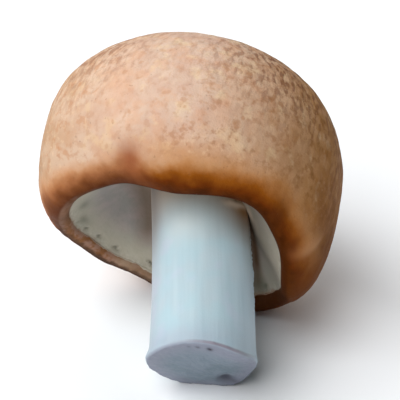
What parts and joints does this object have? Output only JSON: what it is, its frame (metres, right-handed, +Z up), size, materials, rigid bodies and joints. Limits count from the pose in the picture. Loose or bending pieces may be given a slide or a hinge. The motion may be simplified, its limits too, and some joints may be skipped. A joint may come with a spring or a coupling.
{
  "type": "almond mushroom",
  "caption": "Young almond mushroom lying on its side: a broad tan cap with a rolled, wavy margin, a pale veil closing its underside and a thick pale stem, cut square.",
  "frame": {"origin": "on the surface it lies on, under the middle of its bounding box", "axes": "+Z up from the surface; -Y the way the cut end of the stem points; the cap's crown is towards +Y and up"},
  "size_m": [0.0498, 0.0564, 0.0501],
  "materials": {
    "cap_skin": "matte, tan with fine brown fibres, browner towards the margin",
    "veil_membrane": "matte, soft and cream grey",
    "stem_flesh": "smooth and faintly moist, near white, with a greyer cut end"
  },
  "bodies": {
    "root": {"cap": "cap_skin", "veil": "veil_membrane", "stem": "stem_flesh"}
  },
  "joints": []
}
